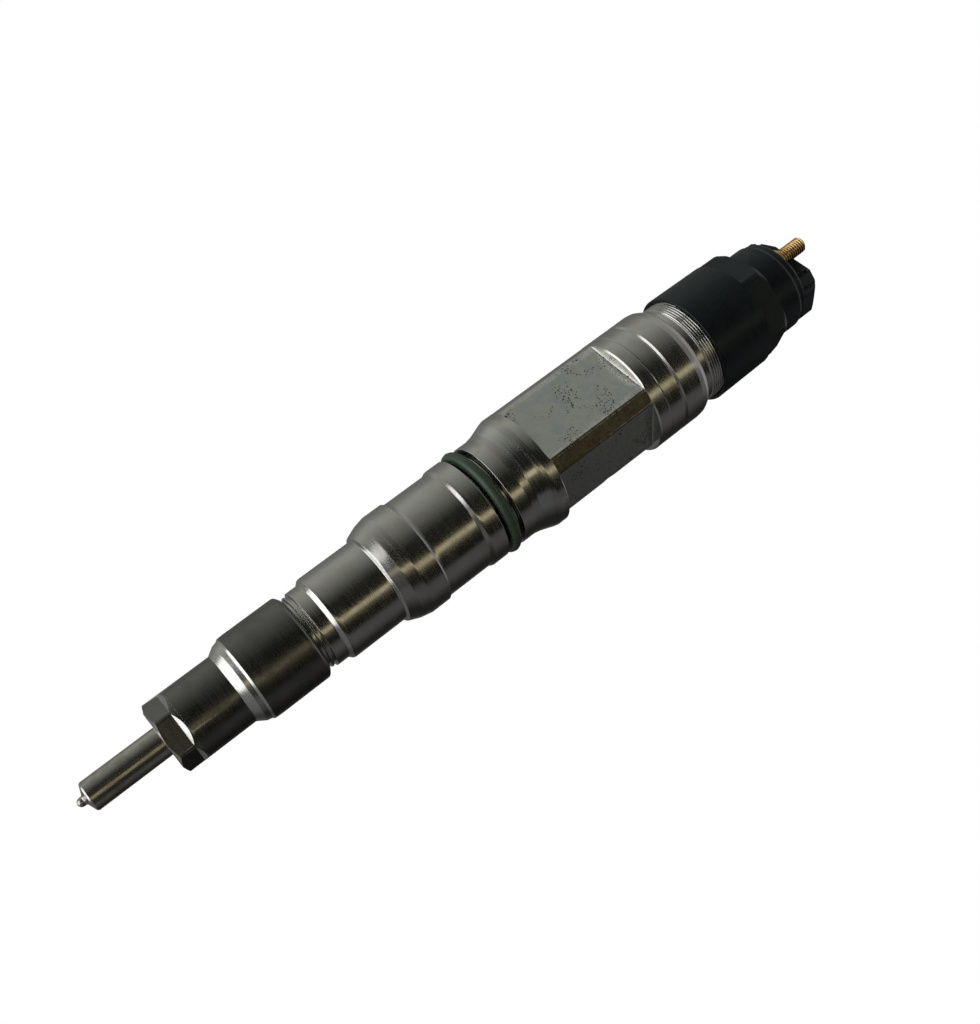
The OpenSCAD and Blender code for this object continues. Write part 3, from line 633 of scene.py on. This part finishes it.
# %% Nozzle body
nozzle_low, nozzle_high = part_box("nozzle_body")
tip_z, joint_z = nozzle_low.z / MM, nozzle_high.z / MM
dome_r, shank_r, collar_r = 1.05, 3.5, nozzle_high.x / MM
dome = [Vector((dome_r * math.cos(a), tip_z + dome_r + dome_r * math.sin(a)))
        for a in (math.radians(-90 + 15 * k) for k in range(6))]
flank = rounded((dome_r, tip_z + dome_r), (dome_r, -18.95, 0.9), (3.28, -18.12, 0.12), (shank_r, -17.75, 0.1),
                (shank_r, 0), (3.2, 0), (3.2, 5.9), (collar_r - 0.4, 6.5), (collar_r, 6.9),
                (collar_r, joint_z - 0.3), (collar_r - 0.3, joint_z), (2.0, joint_z, 0.1), (2.0, 12),
                (3.4, 11, 0.3), (3.4, 9, 0.3), (1.75, 8), (1.75, -17.05), (0.45, -19.3), (0.45, -19.5),
                (0, -19.8))
nozzle_body = skin("nozzle", spanned(dome + flank), even_angles(96))
SPRAY_HOLES = 6
combine(nozzle_body, [
    drill(0.1, 0, 2.4, at=(0, 0, -19.55), sides=12, way=polar(2.2, a + math.pi / 6, -1.05))
    for a in even_angles(SPRAY_HOLES)])
fit(nozzle_body, "nozzle_body", "nozzle_steel", nozzle_steel)

# %% [markdown]
# ## Nozzle retaining nut
# The nut is turned with a slim lower end, two steps and a wide threaded end, and then a small hexagon is
# milled at the bottom. The mill leaves each flat on a 45 degree slope, which meets the round skin in an
# arc. Rows whose height follows that arc make the edge exact, where a cut would leave it ragged.

# %% Nozzle retaining nut
LOW_FLAT, LOW_FLAT_TOP, LOW_R = 7.5, 4.3, 8.47
CHAMFER_R, CHAMFER_HEIGHT = 7.2, 0.75
hex_turn = math.radians(-100)


def soft_least(values, blunt=0.03):
    """The least of several distances, with the edge between them rounded a little."""
    least = min(values)
    return least - blunt * math.log(sum(math.exp((least - v) / blunt) for v in values))


def off_flat(angle, first, count=6):
    """The angle from the middle of the nearest flat."""
    step = math.tau / count
    return (angle - first + step / 2) % step - step / 2


def hex_r(angle):
    """The radius of the nut's lower end, with the hexagon milled on it."""
    return soft_least([LOW_R, LOW_FLAT / math.cos(off_flat(angle, hex_turn))])


def crowded(corners, count=120, near=(0.25, 0.7, 1.3, 2.0)):
    """Even angles, with more of them near each corner of a flat, so many degrees away."""
    extra = [c + side * math.radians(n) for c in corners for n in near for side in (-1, 1)] + list(corners)
    even = [a for a in even_angles(count)
            if all(abs(off_flat(a, c, 1)) > math.radians(max(near) + 0.5) for c in corners)]
    return sorted((a % math.tau) for a in even + extra)


def chamfered(angle):
    """Where the cone on the nut's lower edge meets the hexagon."""
    r = hex_r(angle)
    return r, CHAMFER_HEIGHT * (r - CHAMFER_R) / (LOW_R - CHAMFER_R)


def run_out(share):
    """A row on the slope above a flat: 0 at its foot, 1 where it meets the round skin."""
    def row(angle):
        foot = hex_r(angle)
        rise = max(0.0, LOW_R * math.cos(off_flat(angle, hex_turn)) - LOW_FLAT)
        return foot + (LOW_R - foot) * share, LOW_FLAT_TOP + rise * share
    return row


half_flat = math.acos(LOW_FLAT / LOW_R)
corners = [hex_turn + k * math.tau / 6 + side * half_flat for k in range(6) for side in (-1, 1)]
below = spanned(rounded((3.6, 5.88), (3.6, 0.2), (3.8, 0), (7.1, 0, 0.05)))
above = spanned(rounded(
    (LOW_R, 5.35), (LOW_R, 5.42), (LOW_R - 0.05, 5.47), (LOW_R, 5.52), (LOW_R, 17.3, 0.4),
    (9.72, 19.2, 0.12), (10.02, 20.35, 0.1), (10.42, 20.85, 0.12), (10.5, 22.5), (10.5, 35.3, 0.9),
    (9.35, 36.1, 0.15), (8.6, 36.1), (8.6, 21), (7.2, 21), (7.2, 6.8), (6.75, 6.48)))
rows = below + [lambda a: (hex_r(a) - 0.12, chamfered(a)[1] - 0.07), chamfered,
                lambda a: (hex_r(a), chamfered(a)[1] + 0.1), lambda a: (hex_r(a), LOW_FLAT_TOP - 0.1)]
rows += [run_out(share) for share in (0.0, 0.08, 0.92, 1.0)] + above
retaining_nut = skin("retaining_nut", rows, crowded(corners), closed=True)

# %% [markdown]
# Every outer slope that faces the tip takes the lighter ground steel, chosen by which way the face turns.
# This is a painted highlight of the low panel's light, and it shows there as bright bands.

# %% Slopes of the nut with a painted highlight
for material in (phosphated_steel, ground_steel):
    retaining_nut.data.materials.append(material)
for face in retaining_nut.data.polygons:
    at = face.center / MM
    # faces turned towards the tip, where the low panel lights them, take the lighter steel as a painted
    # highlight
    face.material_index = int(-0.97 < face.normal.z < -0.25 and at.xy.length > 6.5 and at.z < 21)
print("bare faces on the nut:", sum(face.material_index for face in retaining_nut.data.polygons))
fit(retaining_nut, "nozzle_retaining_nut", "phosphated_steel")

# %% [markdown]
# ## Injector body
# One bar makes the body: a slim end under the nozzle nut, two lands that fill the cylinder head's bore
# with a waist between them, the seal's groove, a flare, the head with its spanner flats, and the thread
# for the solenoid nut. Flats are rows again, with a small rounding at the foot of each shoulder and a
# chamfer on its rim, both as deep as the flat allows there.

# %% Body, flats and shoulders
body_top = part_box("injector_body")[1].z / MM
HEAD_R, FLAT, INLET_FLAT = 14.75, 11.7, 13.1
FLATS_LOW, FLATS_HIGH = 100.1, 128.5
flat_ways = [math.radians(a) for a in (45, 135, 225, 315)]
flat_half = math.acos(FLAT / HEAD_R)
inlet_edge = math.atan2(FLAT - INLET_FLAT * math.cos(flat_ways[0]), INLET_FLAT * math.sin(flat_ways[0]))


def flats_r(angle):
    """The radius of the head between its shoulders."""
    flats = [FLAT / math.cos(off_flat(angle, way, 1)) for way in flat_ways
             if abs(off_flat(angle, way, 1)) < math.radians(60)]
    if abs(off_flat(angle, 0, 1)) < math.radians(60):
        flats.append(INLET_FLAT / math.cos(angle))
    return soft_least([HEAD_R] + flats, blunt=0.05)


def shoulder(z, side, rim=0.34, foot=0.22):
    """Rows of one shoulder, from the round head to the flat; side is 1 where the head lies above it."""
    def on_rim(share):
        def row(angle):
            size = min(rim, 0.3 * (HEAD_R - flats_r(angle)))
            return HEAD_R - size * share, z + side * size * (1 - share)
        return row

    def on_foot(share):
        def row(angle):
            size = min(foot, 0.3 * (HEAD_R - flats_r(angle)))
            swing = math.radians(90 * share)
            return flats_r(angle) + size * (1 - math.sin(swing)), z - side * size * (1 - math.cos(swing))
        return row

    return [on_rim(share) for share in (0, 0.5, 1)] + [on_foot(share) for share in (0, 0.33, 0.67, 1)]


def level_row(z):
    """A row across the flats at one height."""
    return lambda angle: (flats_r(angle), z)


head_corners = [way + side * flat_half for way in flat_ways for side in (-1, 1)]
head_corners = [c for c in head_corners if abs(off_flat(c, 0, 1)) > math.radians(20)]
head_corners += [inlet_edge, -inlet_edge]
head_angles = crowded(head_corners, count=150)
print("flats meet the inlet's flat at", round(math.degrees(inlet_edge), 2), "degrees")

# %% [markdown]
# The thread is a ridge whose height depends on both the angle and the height, so it climbs one pitch in
# each turn. It fades out at the relief below it, as a die leaves it.

# %% Body thread and outline
THREAD_CREST, THREAD_ROOT, THREAD_PITCH, RELIEF_R = 13.2, 12.78, 0.7, 12.93
CHAMBER_R = 10.55
thread_low, thread_high = 146.8, 151.0


def thread_row(z, crest, root, pitch, low):
    """One row of a thread, fading in over half a pitch from its low end."""
    def row(angle):
        turn = (z / pitch - angle / math.tau) % 1.0
        ridge = min(1.0, max(0.0, 1.35 - 2.7 * abs(turn - 0.5)))
        fade = min(1.0, max(0.0, (z - low) / (0.5 * pitch)))
        return root + (crest - root) * ridge * fade, z
    return row


lower = spanned(rounded(
    (2.4, 50), (4.2, 50), (4.2, 22), (8.1, 22), (8.55, 22.5), (8.55, 36.3), (8.3, 36.4), (8.3, 36.85, 0.1),
    (9.15, 36.9, 0.1), (9.15, 37.35, 0.1), (8.6, 37.4, 0.1), (8.6, 37.95, 0.1), (9.55, 38.05, 0.12),
    (9.55, 40.95, 0.3), (10.4, 41.85, 0.15), (10.5, 42.4), (10.5, 55.9, 0.2), (11.3, 56.3, 0.15),
    (12.4, 59.0, 1.2), (13.0, 61.7, 0.8), (13.0, 66.45, 0.08), (12.62, 66.8, 0.1),
    (12.5, 67.5, 0.15), (12.5, 78.45, 0.1), (12.95, 79.35, 0.12), (13.0, 79.7), (13.0, 83.4, 0.16),
    (10.9, 83.4, 0.2), (10.9, 88.2, 0.2), (13.0, 88.2, 0.16), (13.0, 91.6, 0.8), (13.35, 93.4, 0.05),
    (14.26, 96.05, 0.1), (14.5, 96.7, 0.4), (14.72, 97.6, 0.15), (HEAD_R, 97.75), (HEAD_R, 99.3)))
upper = spanned(rounded(
    (HEAD_R, 129.2), (HEAD_R, 131.9, 0.04), (HEAD_R - 0.12, 131.98, 0.04), (HEAD_R, 132.2, 0.04),
    (HEAD_R, 136.2, 0.1), (HEAD_R - 0.4, 136.35, 0.1), (HEAD_R - 0.4, 136.65, 0.1), (HEAD_R, 137.15, 0.1),
    (HEAD_R, 142.1, 0.6), (HEAD_R - 0.2, 143.5, 0.4), (HEAD_R - 0.75, 144.6, 0.12), (RELIEF_R, 144.6, 0.12),
    (RELIEF_R, thread_low - 0.1, 0.05), (THREAD_ROOT, thread_low)))
thread_steps = round((thread_high - thread_low) / THREAD_PITCH * 14)
thread = [thread_row(thread_low + (thread_high - thread_low) * k / thread_steps,
                     THREAD_CREST, THREAD_ROOT, THREAD_PITCH, thread_low) for k in range(1, thread_steps)]
inside = spanned(rounded(
    (THREAD_ROOT, thread_high + 0.1), (THREAD_ROOT, body_top - 0.4), (THREAD_ROOT - 0.4, body_top),
    (CHAMBER_R, body_top), (CHAMBER_R, 145), (9.1, 145), (9.1, 137), (8.6, 137), (8.6, 126), (7.6, 126),
    (7.6, 119), (2.4, 119)))
rows = lower + shoulder(FLATS_LOW, -1) + [level_row(FLATS_LOW + 0.6), level_row(FLATS_HIGH - 0.6)]
rows += shoulder(FLATS_HIGH, 1)[::-1] + upper + thread + inside
body = skin("body", rows, head_angles, closed=True)
print("body rows:", len(rows), "and columns:", len(head_angles))

# %% [markdown]
# The drillings are cut after the turning, as in the workshop: the fuel inlet with its sealing cone, the
# long fuel drilling, the return from the solenoid chamber, and the holes of the two locating pins.

# %% Body drillings
inlet_z, inlet_r, mouth_r, mouth_x, feed_x = 114.3, 1.2, 3.6, 11.1, 5.85
cone_x = mouth_x - (mouth_r - inlet_r) / math.tan(math.radians(40))
DRAIN_OUT, DRAIN_Z, DRAIN_TOP = 8.2, 72.5, 145.5
drain = Vector(polar(1, math.radians(75)))
slant = drain * (CHAMBER_R - DRAIN_OUT) + Vector((0, 0, DRAIN_TOP - DRAIN_Z))
pin_holes = [drill(0.82, 0, 4, at=polar(5.6, math.radians(a), 20.4)) for a in (115, 245)]
combine(body, [
    drill(0.8, 0, 99, at=(feed_x, 0, 21)),
    cutter([(0, 5.45), (inlet_r, 5.45), (inlet_r, cone_x), (mouth_r, mouth_x), (mouth_r, 12.8),
            (mouth_r + 0.35, 13.15), (mouth_r + 0.35, 14), (0, 14)],
           at=(0, 0, inlet_z), way=(1, 0, 0), sides=64),
    cutter([(0, 0), (1.0, 0), (1.0, 4.05), (1.25, 4.3), (1.25, 6), (0, 6)],
           at=(*(drain.xy * DRAIN_OUT), DRAIN_Z + 0.5), way=drain),
    drill(0.7, 0, slant.length, at=(*(drain.xy * DRAIN_OUT), DRAIN_Z), way=slant),
    *pin_holes])

# %% [markdown]
# Four finishes share the body: the turned skin, the milled flats, the two forged corners that face +Y and
# -Y, and the polished flare. Each face takes the one that belongs to its place.

# %% Body finishes by place
for material in (body_steel, flat_steel, forged_steel, flare_steel):
    body.data.materials.append(material)
TURNED, MILLED, FORGED, POLISHED = range(4)
for face in body.data.polygons:
    at = face.center / MM
    r = math.hypot(at.x, at.y)
    face.material_index = TURNED
    if r > 11 and FLATS_LOW + 0.05 < at.z < FLATS_HIGH - 0.05:
        face.material_index = MILLED if r < HEAD_R - 0.12 else FORGED if abs(at.y) > abs(at.x) else TURNED
    elif r > 13.3 and 93.42 < at.z < 96.05:
        face.material_index = POLISHED
used = [sum(face.material_index == k for face in body.data.polygons) for k in range(4)]
print("faces turned, milled, forged, polished:", used)
fit(body, "injector_body", "body_steel")

# %% [markdown]
# ## Seal rings
# A moulded ring has a faint ridge where the two halves of its mould met. The section is a circle with
# that ridge at its outer edge and its inner edge.

# %% Seal rings
def seal_ring(name, node, slot, material, sides=40, ridge=0.04):
    """A rubber ring that fills its node's box, with a moulding ridge."""
    low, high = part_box(node)
    section = (high.z - low.z) / 2 / MM
    middle_r, middle_z = high.x / MM - section - ridge, (high.z + low.z) / 2 / MM
    rows = []
    for a in even_angles(sides):
        r = section + ridge * max(0.0, 1 - abs(math.sin(a)) / 0.16)
        rows.append((middle_r + r * math.cos(a), middle_z + section * math.sin(a)))
    return fit(skin(name, rows, even_angles(128), closed=True), node, slot, material)


seal_ring("head_bore_seal", "body_seal", "green_rubber", green_rubber)
seal_ring("solenoid_chamber_seal", "solenoid_seal", "black_rubber", black_rubber)

# %% [markdown]
# ## Solenoid nut
# The nut is slightly conical and carries a hexagon only at its top, so each flat ends in an arc where it
# runs off the cone. The rows work as they do on the lower nut, but here the mill left a square shoulder.

# %% Solenoid nut
nut_low, nut_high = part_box("solenoid_nut")
NUT_LOW, NUT_TOP = nut_low.z / MM, nut_high.z / MM
NUT_R, NUT_FLAT, NUT_FLATS_Z = 14.3, 12.45, 165.6
nut_turn = math.radians(-150.5)


def nut_skin(z):
    """The radius of the conical skin at a height."""
    return NUT_R - 0.3 * (z - NUT_LOW) / (NUT_TOP - NUT_LOW)


def nut_row(z, share=1.0):
    """A row of the nut, milled to a share of the full depth of its flats."""
    def row(angle):
        full = nut_skin(z)
        milled = soft_least([full, NUT_FLAT / math.cos(off_flat(angle, nut_turn))])
        return full + (milled - full) * share, z
    return row


def nut_top_row(drop):
    """A row on the chamfer round the top face, which is turned and then cut by the flats."""
    def row(angle):
        cone = nut_skin(NUT_TOP) - 0.8 + drop / 1.5
        return soft_least([cone, nut_row(NUT_TOP)(angle)[0]]), NUT_TOP - drop
    return row


nut_half = math.acos(NUT_FLAT / nut_skin(NUT_FLATS_Z))
nut_corners = [nut_turn + k * math.tau / 6 + side * nut_half for k in range(6) for side in (-1, 1)]
rows = spanned(rounded((13.25, 161), (13.25, NUT_LOW + 0.4), (13.6, NUT_LOW), (NUT_R, NUT_LOW, 0.75),
                       (nut_skin(163), 163.0)))
rows += [nut_row(NUT_FLATS_Z - 0.1, 0)] + [nut_row(NUT_FLATS_Z, share) for share in (0, 0.1, 0.9, 1.0)]
rows += [nut_row(NUT_FLATS_Z + 0.15), nut_row(NUT_TOP - 1.4)]
rows += [nut_top_row(drop) for drop in (1.25, 1.15, 0.6, 0.2, 0.08, 0.0)]
rows += spanned(rounded((12.2, NUT_TOP), (11.9, NUT_TOP), (11.7, NUT_TOP - 0.2), (11.7, 165), (12.4, 165),
                        (12.4, 161)))
solenoid_nut = skin("black_nut", rows, crowded(nut_corners), closed=True)
fit(solenoid_nut, "solenoid_nut", "black_nut_steel", black_nut_steel)

# %% [markdown]
# ## Terminal cap
# The cap is one moulding: a collar that the nut holds, a rounded shoulder, and a thick wall that keeps
# the two cable eyes apart. It is easier to see as three shapes joined: the turned collar, the wall with
# its round ends, and the grooves and sockets cut from both. A small bevel then rounds every edge, as a
# mould does.

# %% Terminal cap
WALL_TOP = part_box("terminal_cap")[1].z / MM
CAP_FACE, WALL_REACH, WALL_HALF = 181.4, 11.3, 4.0
STUD_OUT, STUD_FOOT, LEAD_OUT = 7.2, 172.2, 6
wall_turn = Matrix.Rotation(math.radians(-45), 4, "Z")
stud_ways = [math.radians(-135), math.radians(45)]
cap = skin("cap", spanned(rounded(
    (0, 163), (12.2, 163), (12.2, 165), (11.6, 165), (11.6, 178.7), (11.35, 179.05, 0.1), (11.2, 179.4, 0.2),
    (11.2, CAP_FACE, 1.5), (0, CAP_FACE))), even_angles(96))

half = [(WALL_REACH + 1, 180), (WALL_REACH + 1, WALL_TOP - 5.5), (9, WALL_TOP - 1.8), (5.6, WALL_TOP)]
side_view = [Vector(p) for p in half + [(-reach, z) for reach, z in half[::-1]]]
built = bmesh.new()
for side in (-WALL_HALF, WALL_HALF):
    built.faces.new([built.verts.new((p.x * MM, side * MM, p.y * MM)) for p in side_view])
near_face, far_face = list(built.faces)
for k in range(len(side_view)):
    n = (k + 1) % len(side_view)
    built.faces.new((near_face.verts[k], near_face.verts[n], far_face.verts[n], far_face.verts[k]))
wall = tidy_mesh(built, "wall")
wall.data.transform(wall_turn)
combine(wall, [drill(WALL_REACH, 180, 195, sides=128)], "INTERSECT")
combine(cap, [wall], "UNION")
grooves = [drill(0.55, CAP_FACE + 0.4, WALL_TOP - 1, sides=16,
                 at=wall_turn @ Vector((reach, side * (WALL_HALF + 0.15), 0)))
           for reach in (-9.3, -5.4, 5.4, 9.3) for side in (-1, 1)]
sockets = [drill(2.42, STUD_FOOT, 184, sides=48, at=polar(STUD_OUT, a)) for a in stud_ways]
lead_holes = [drill(0.55, 160, 173, sides=24, at=polar(LEAD_OUT, a)) for a in stud_ways]
combine(cap, grooves + sockets + lead_holes)
edges = cap.modifiers.new("mould_radius", "BEVEL")
edges.width, edges.segments, edges.angle_limit, edges.harden_normals = 0.28 * MM, 3, math.radians(50), False
applied(cap)
fit(cap, "terminal_cap", "black_plastic", black_plastic)

# %% [markdown]
# ## Terminal studs
# Each stud is an M4 thread on a round flange, pressed into the cap. The thread is rolled, so its crests
# are full and its start is a plain cone.

# %% Terminal studs
def stud(name, node, way):
    """A threaded stud on its flange, at its place in the cap."""
    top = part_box(node)[1].z / MM
    crest, root, pitch, low = 2.0, 1.62, 0.7, CAP_FACE + 1.05

    def tipped(z):
        thread_at = thread_row(z, crest, root, pitch, low)
        return lambda angle: (min(thread_at(angle)[0], 1.35 + (top - z)), z)

    base = spanned(rounded((0, STUD_FOOT), (2.3, STUD_FOOT), (2.4, STUD_FOOT + 0.1), (2.4, CAP_FACE),
                           (2.9, CAP_FACE), (3.0, CAP_FACE + 0.1), (3.0, CAP_FACE + 1.0, 0.25),
                           (root, CAP_FACE + 1.0, 0.1)))
    steps = round((top - low) / pitch * 12)
    rows = base + [tipped(low + (top - low) * k / steps) for k in range(steps + 1)] + [(0, top)]
    piece = skin(name, rows, even_angles(56))
    piece.data.transform(Matrix.Translation(Vector(polar(STUD_OUT, way)) * MM))
    return fit(piece, node, "terminal_brass", terminal_brass)


stud("front_stud", "terminal_stud_front", stud_ways[0])
stud("rear_stud", "terminal_stud_rear", stud_ways[1])

# %% [markdown]
# ## Springs
# The three springs are wound from round wire, with their end turns closed. The wire's path rises slowly
# over the first and last turn and faster between, and it fills the height of the node's box, so each
# spring seats at both ends.

# %% Springs
def spring(name, node, wire_r, turns, sides=12, per_turn=36):
    """A spring that fills its node's box."""
    low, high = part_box(node)
    mean_r = high.x / MM - wire_r
    bottom, top = low.z / MM + wire_r, high.z / MM - wire_r
    closed_turns = 1.0
    free = (top - bottom - 4 * wire_r * closed_turns) / (turns - 2 * closed_turns)

    def height(turn):
        flat = 2 * wire_r
        if turn < closed_turns:
            return bottom + flat * turn
        if turn > turns - closed_turns:
            return top - flat * (turns - turn)
        return bottom + flat * closed_turns + free * (turn - closed_turns)

    built = bmesh.new()
    rings = []
    count = round(turns * per_turn)
    for k in range(count + 1):
        a = math.tau * k / per_turn
        rings.append([built.verts.new(Vector((
            (mean_r + wire_r * math.cos(b)) * math.cos(a), (mean_r + wire_r * math.cos(b)) * math.sin(a),
            height(turns * k / count) + wire_r * math.sin(b))) * MM) for b in even_angles(sides)])
    for first, second in zip(rings, rings[1:]):
        for k in range(sides):
            built.faces.new((first[k], first[(k + 1) % sides], second[(k + 1) % sides], second[k]))
    built.faces.new(rings[0])
    built.faces.new(rings[-1])
    piece = fit(tidy_mesh(built, name), node, "spring_steel", spring_steel)
    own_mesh(piece)
    return piece


spring("closing_spring", "nozzle_spring", 0.6, 9)
spring("armature_spring", "overtravel_spring", 0.28, 3)
spring("valve_spring", "solenoid_spring", 0.25, 7)

# %% [markdown]
# ## Solenoid winding
# The coil is layers of enamelled wire. Only the outer and inner layers show, so the winding is one ring
# whose two walls are rows of half-round bumps, one for each turn of wire.

# %% Solenoid winding
coil_low, coil_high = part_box("solenoid_coil")
WIRE_R, COIL_IN = 0.16, 5.1
turns_high = int((coil_high.z - coil_low.z) / MM / (2 * WIRE_R))
step = (coil_high.z - coil_low.z) / MM / turns_high
bumps = [(k + s / 6, math.sin(math.pi * s / 6)) for k in range(turns_high) for s in range(6)]
bumps.append((turns_high, 0.0))
outer_wall = [(coil_high.x / MM - WIRE_R * (1 - swell), coil_low.z / MM + at * step) for at, swell in bumps]
inner_wall = [(COIL_IN + WIRE_R * (1 - swell), coil_low.z / MM + at * step) for at, swell in bumps]
winding = skin("winding", outer_wall + inner_wall[::-1], even_angles(96), closed=True)
fit(winding, "solenoid_coil", "copper_wire", copper_wire)

# %% [markdown]
# ## Parts that keep their own shape
# The ground and turned parts inside are right as they are. Each takes the finish that its part in the
# model's record asks for, on every slot of its mesh.

# %% Finishes of the kept parts
for row in frame["record"]["subparts"]:
    part = nodes[row["node"]]
    if not part.hide_render:
        part.data.materials.clear()
        part.data.materials.append(finishes[row["material_slot"]])
print("kept parts:", sum(not part.hide_render for part in nodes.values()))
